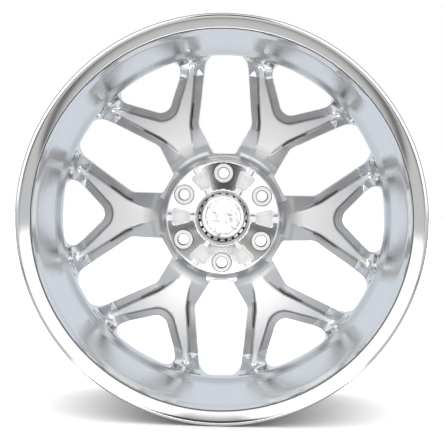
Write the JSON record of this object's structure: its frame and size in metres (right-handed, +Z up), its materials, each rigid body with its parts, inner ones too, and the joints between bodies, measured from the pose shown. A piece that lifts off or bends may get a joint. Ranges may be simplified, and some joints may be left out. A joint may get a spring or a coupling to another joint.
{
  "type": "wheel rim",
  "caption": "Forged and polished road wheel with forked spokes in a rolled barrel, for a truck-type bolt circle; holds a tyre and bolts to a hub.",
  "frame": {"origin": "wheel centre: on the spin axis, halfway between the two flange edges", "axes": "+Y along the spin axis towards the street side, +Z up, +X completing a right-handed frame"},
  "size_m": [0.5986, 0.2794, 0.5986],
  "materials": {
    "polished_aluminium": "mirror polished",
    "forged_aluminium": "polished forging, turned hub face",
    "zinc_steel": "bright plated steel",
    "cap_chrome": "chrome plated",
    "valve_chrome": "chrome plated",
    "spring_steel": "bright wire",
    "core_brass": "turned",
    "black_rubber": "matt"
  },
  "bodies": {
    "wheel": {"rim_barrel": "polished_aluminium", "wheel_centre": "forged_aluminium", "lug_seat_insert_1": "zinc_steel", "lug_seat_insert_2": "zinc_steel", "lug_seat_insert_3": "zinc_steel", "lug_seat_insert_4": "zinc_steel", "lug_seat_insert_5": "zinc_steel", "lug_seat_insert_6": "zinc_steel", "valve_stem": "valve_chrome", "valve_inner_grommet": "black_rubber", "valve_outer_grommet": "black_rubber", "valve_washer": "zinc_steel", "valve_nut": "valve_chrome", "valve_core_body": "core_brass"},
    "centre_cap": {"cap_shell": "cap_chrome", "cap_emblem_disc": "polished_aluminium", "cap_spring_ring": "spring_steel", "cap_seal_ring": "black_rubber"},
    "valve_pin": {"valve_core_pin": "core_brass", "valve_plunger_seal": "black_rubber", "valve_core_spring": "spring_steel"},
    "dust_cap": {"valve_dust_cap": "valve_chrome", "dust_cap_gasket": "black_rubber"}
  },
  "joints": [
    {"name": "centre_cap_pull", "type": "slide", "parent": "wheel", "child": "centre_cap", "axis": [0, 1, 0], "range_m": [0, 0.06]},
    {"name": "dust_cap_off", "type": "slide", "parent": "wheel", "child": "dust_cap", "axis": [-0.2241, 0.5, -0.8365], "range_m": [0, 0.02]},
    {"name": "valve_pin_press", "type": "slide", "parent": "wheel", "child": "valve_pin", "axis": [0.2241, -0.5, 0.8365], "range_m": [0, 0.001], "stiffness_N_per_m": 300, "deforming": ["valve_core_spring"]}
  ]
}
